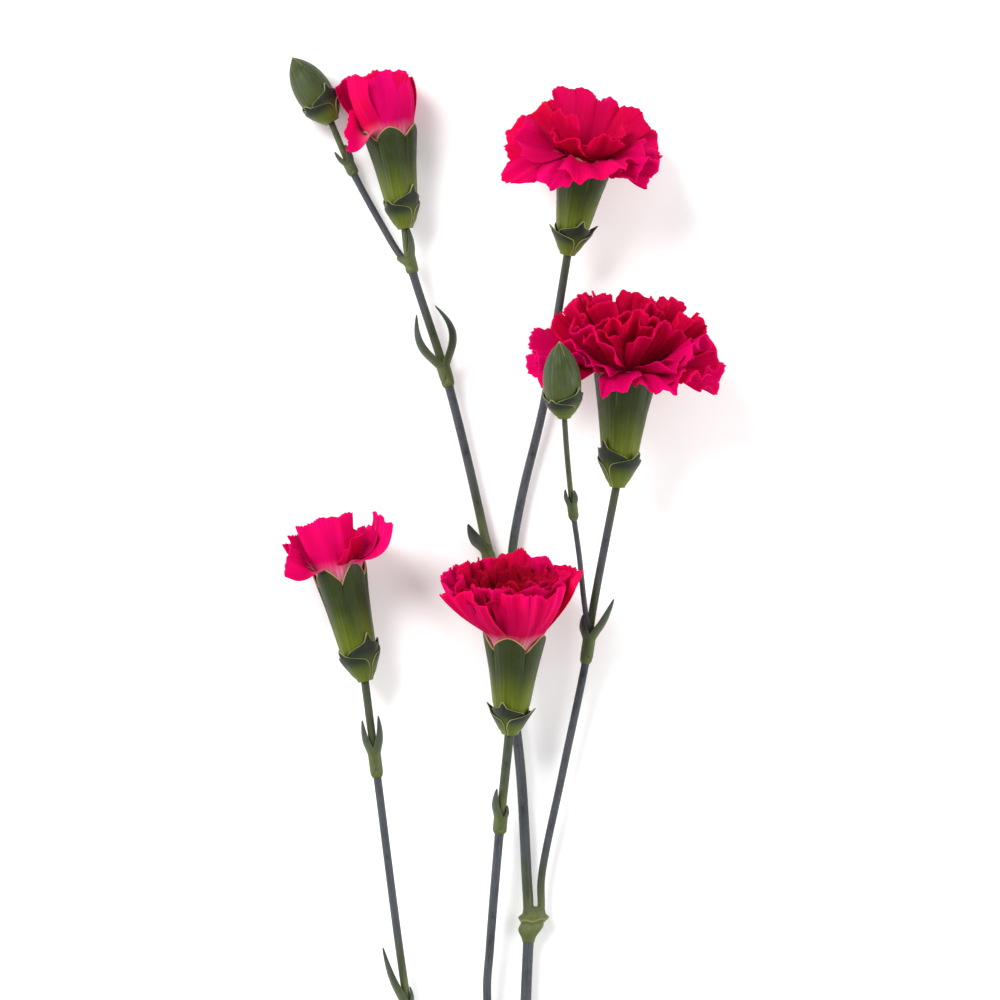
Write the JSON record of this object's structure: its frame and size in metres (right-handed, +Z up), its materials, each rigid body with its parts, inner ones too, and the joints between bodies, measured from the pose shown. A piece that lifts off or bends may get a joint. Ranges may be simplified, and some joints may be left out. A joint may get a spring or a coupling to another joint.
{
  "type": "cut spray carnation",
  "caption": "Cut spray carnation lying flat: slender jointed stem with side branches, ruffled toothed flowers in tubular calyces, closed buds and short leaf pairs.",
  "frame": {"origin": "middle of the plant's foot on the surface it lies on", "axes": "+Y from the cut end towards the flowers, +X to the right seen from above, +Z up from the surface"},
  "size_m": [0.1024, 0.349, 0.0422],
  "materials": {
    "stem": "fresh grey-green stem with a waxy bloom",
    "calyx": "fresh green calyx with fine lengthwise ribs",
    "bract": "fresh green bract with a pale edge",
    "leaf": "fresh grey-green leaf with a waxy bloom",
    "petal": "soft cerise petal with a toothed edge"
  },
  "bodies": {
    "root": {"main_stem": "stem", "branch_top_right": "stem", "branch_right": "stem", "branch_front": "stem", "branch_left": "stem", "bud_stalk_top_left": "stem", "bud_stalk_right": "stem", "node_lowest": "leaf", "node_lower": "leaf", "node_fork": "leaf", "node_hidden": "leaf", "leaf_folded": "leaf", "leaves_upper": "leaf", "leaf_top": "leaf", "leaves_bud_top_left": "leaf", "leaves_right": "leaf", "leaves_bud_right": "leaf", "leaf_front": "leaf", "leaves_left": "leaf", "leaf_lower_left": "leaf", "calyx_top_left": "calyx", "bracts_inner_top_left": "bract", "bracts_outer_top_left": "bract", "calyx_top_right": "calyx", "bracts_inner_top_right": "bract", "bracts_outer_top_right": "bract", "calyx_right": "calyx", "bracts_inner_right": "bract", "bracts_outer_right": "bract", "calyx_front": "calyx", "bracts_inner_front": "bract", "bracts_outer_front": "bract", "calyx_left": "calyx", "bracts_inner_left": "bract", "bracts_outer_left": "bract", "bud_top_left": "calyx", "bracts_inner_bud_top_left": "bract", "bracts_outer_bud_top_left": "bract", "bud_right": "calyx", "bracts_inner_bud_right": "bract", "bracts_outer_bud_right": "bract", "petals_top_left_1": "petal", "petals_top_left_2": "petal", "petals_top_right_1": "petal", "petals_top_right_2": "petal", "petals_top_right_3": "petal", "petals_right_1": "petal", "petals_right_2": "petal", "petals_right_3": "petal", "petals_right_4": "petal", "petals_front_1": "petal", "petals_front_2": "petal", "petals_front_3": "petal", "petals_front_4": "petal", "petals_left_1": "petal", "petals_left_2": "petal"}
  },
  "joints": []
}
